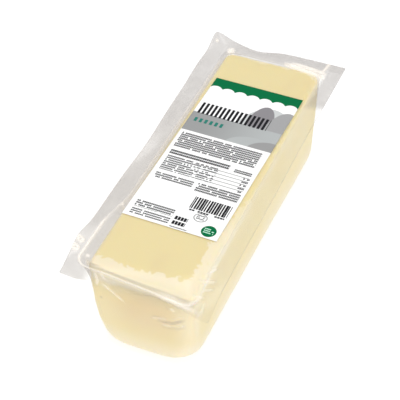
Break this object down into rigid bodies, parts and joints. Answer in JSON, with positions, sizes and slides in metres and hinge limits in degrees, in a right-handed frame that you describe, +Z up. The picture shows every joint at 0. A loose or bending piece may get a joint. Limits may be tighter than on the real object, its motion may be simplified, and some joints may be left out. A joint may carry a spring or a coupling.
{
  "type": "vacuum-packed mozzarella block",
  "caption": "Long block of pale yellow mozzarella in a clear formed tray film with a sealed lid film, a wavy flange all round and a plain-printed label on top",
  "frame": {"origin": "bottom centre of the whole pack's box, on the surface it rests on", "axes": "+Y along the block towards its far end, +X to the right as seen from the near end, +Z up"},
  "size_m": [0.1234, 0.3202, 0.096],
  "materials": {
    "cheese": "smooth pale yellow low-moisture mozzarella, moist and satin under the film",
    "clear_film": "clear glossy laminated pack film with creases, a bead at the mouth and a faint grey veil on the flange",
    "label_paper": "satin white label with a green band, a grey panel and rows of plain dark dashes, no lettering"
  },
  "bodies": {
    "root": {"cheese_block": "cheese", "tray_film": "clear_film", "lid_film": "clear_film", "label": "label_paper"}
  },
  "joints": []
}
